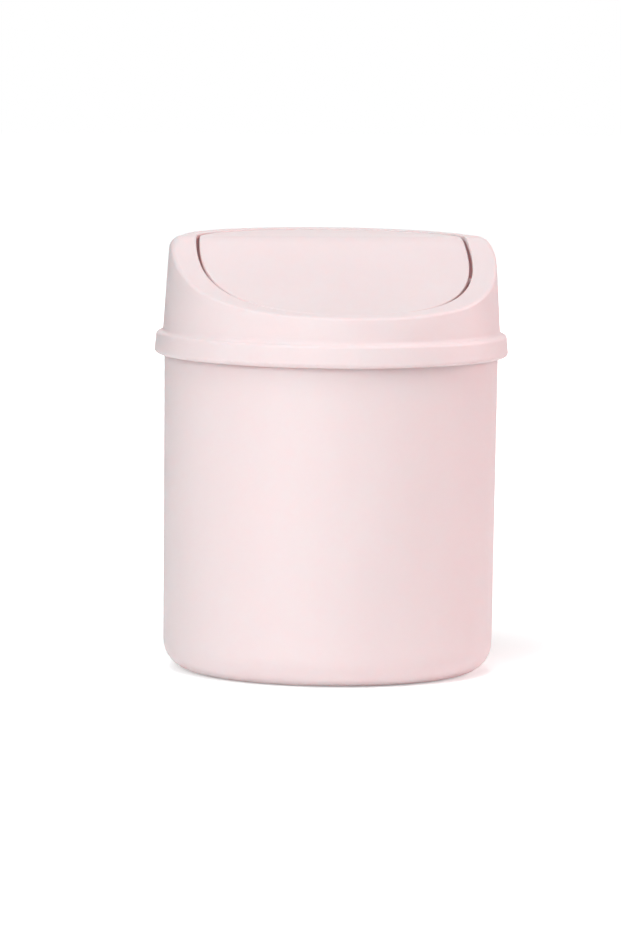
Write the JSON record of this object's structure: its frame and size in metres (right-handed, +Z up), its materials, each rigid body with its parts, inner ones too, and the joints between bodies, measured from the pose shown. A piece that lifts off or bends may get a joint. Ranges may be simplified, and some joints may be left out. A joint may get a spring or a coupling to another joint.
{
  "type": "desktop trash can",
  "caption": "Small round desktop trash can: a tapered bucket with a rounded foot, a lift-off lid with a scooped top, and a round push flap that swings in and falls shut.",
  "frame": {"origin": "centre of the foot, on the surface that the bin stands on", "axes": "+Z up along the bucket's axis, -Y towards the front, where the top is scooped low and the flap is pushed, +X to the right seen from the front"},
  "size_m": [0.1322, 0.1322, 0.1625],
  "materials": {
    "bin_plastic": "satin, pale pink polypropylene",
    "lid_plastic": "satin, pale pink polypropylene",
    "flap_plastic": "satin, pale pink polypropylene"
  },
  "bodies": {
    "bin": {"bin_body": "bin_plastic"},
    "lid": {"lid_frame": "lid_plastic"},
    "flap": {"swing_flap": "flap_plastic"}
  },
  "joints": [
    {"name": "lid_lift", "type": "slide", "parent": "bin", "child": "lid", "axis": [0, 0, 1], "range_m": [0, 0.06]},
    {"name": "flap_swing", "type": "hinge", "parent": "lid", "child": "flap", "pos_m": [0, -0.0147, 0.14641], "axis": [1, 0, 0], "range_deg": [0, 55]}
  ]
}
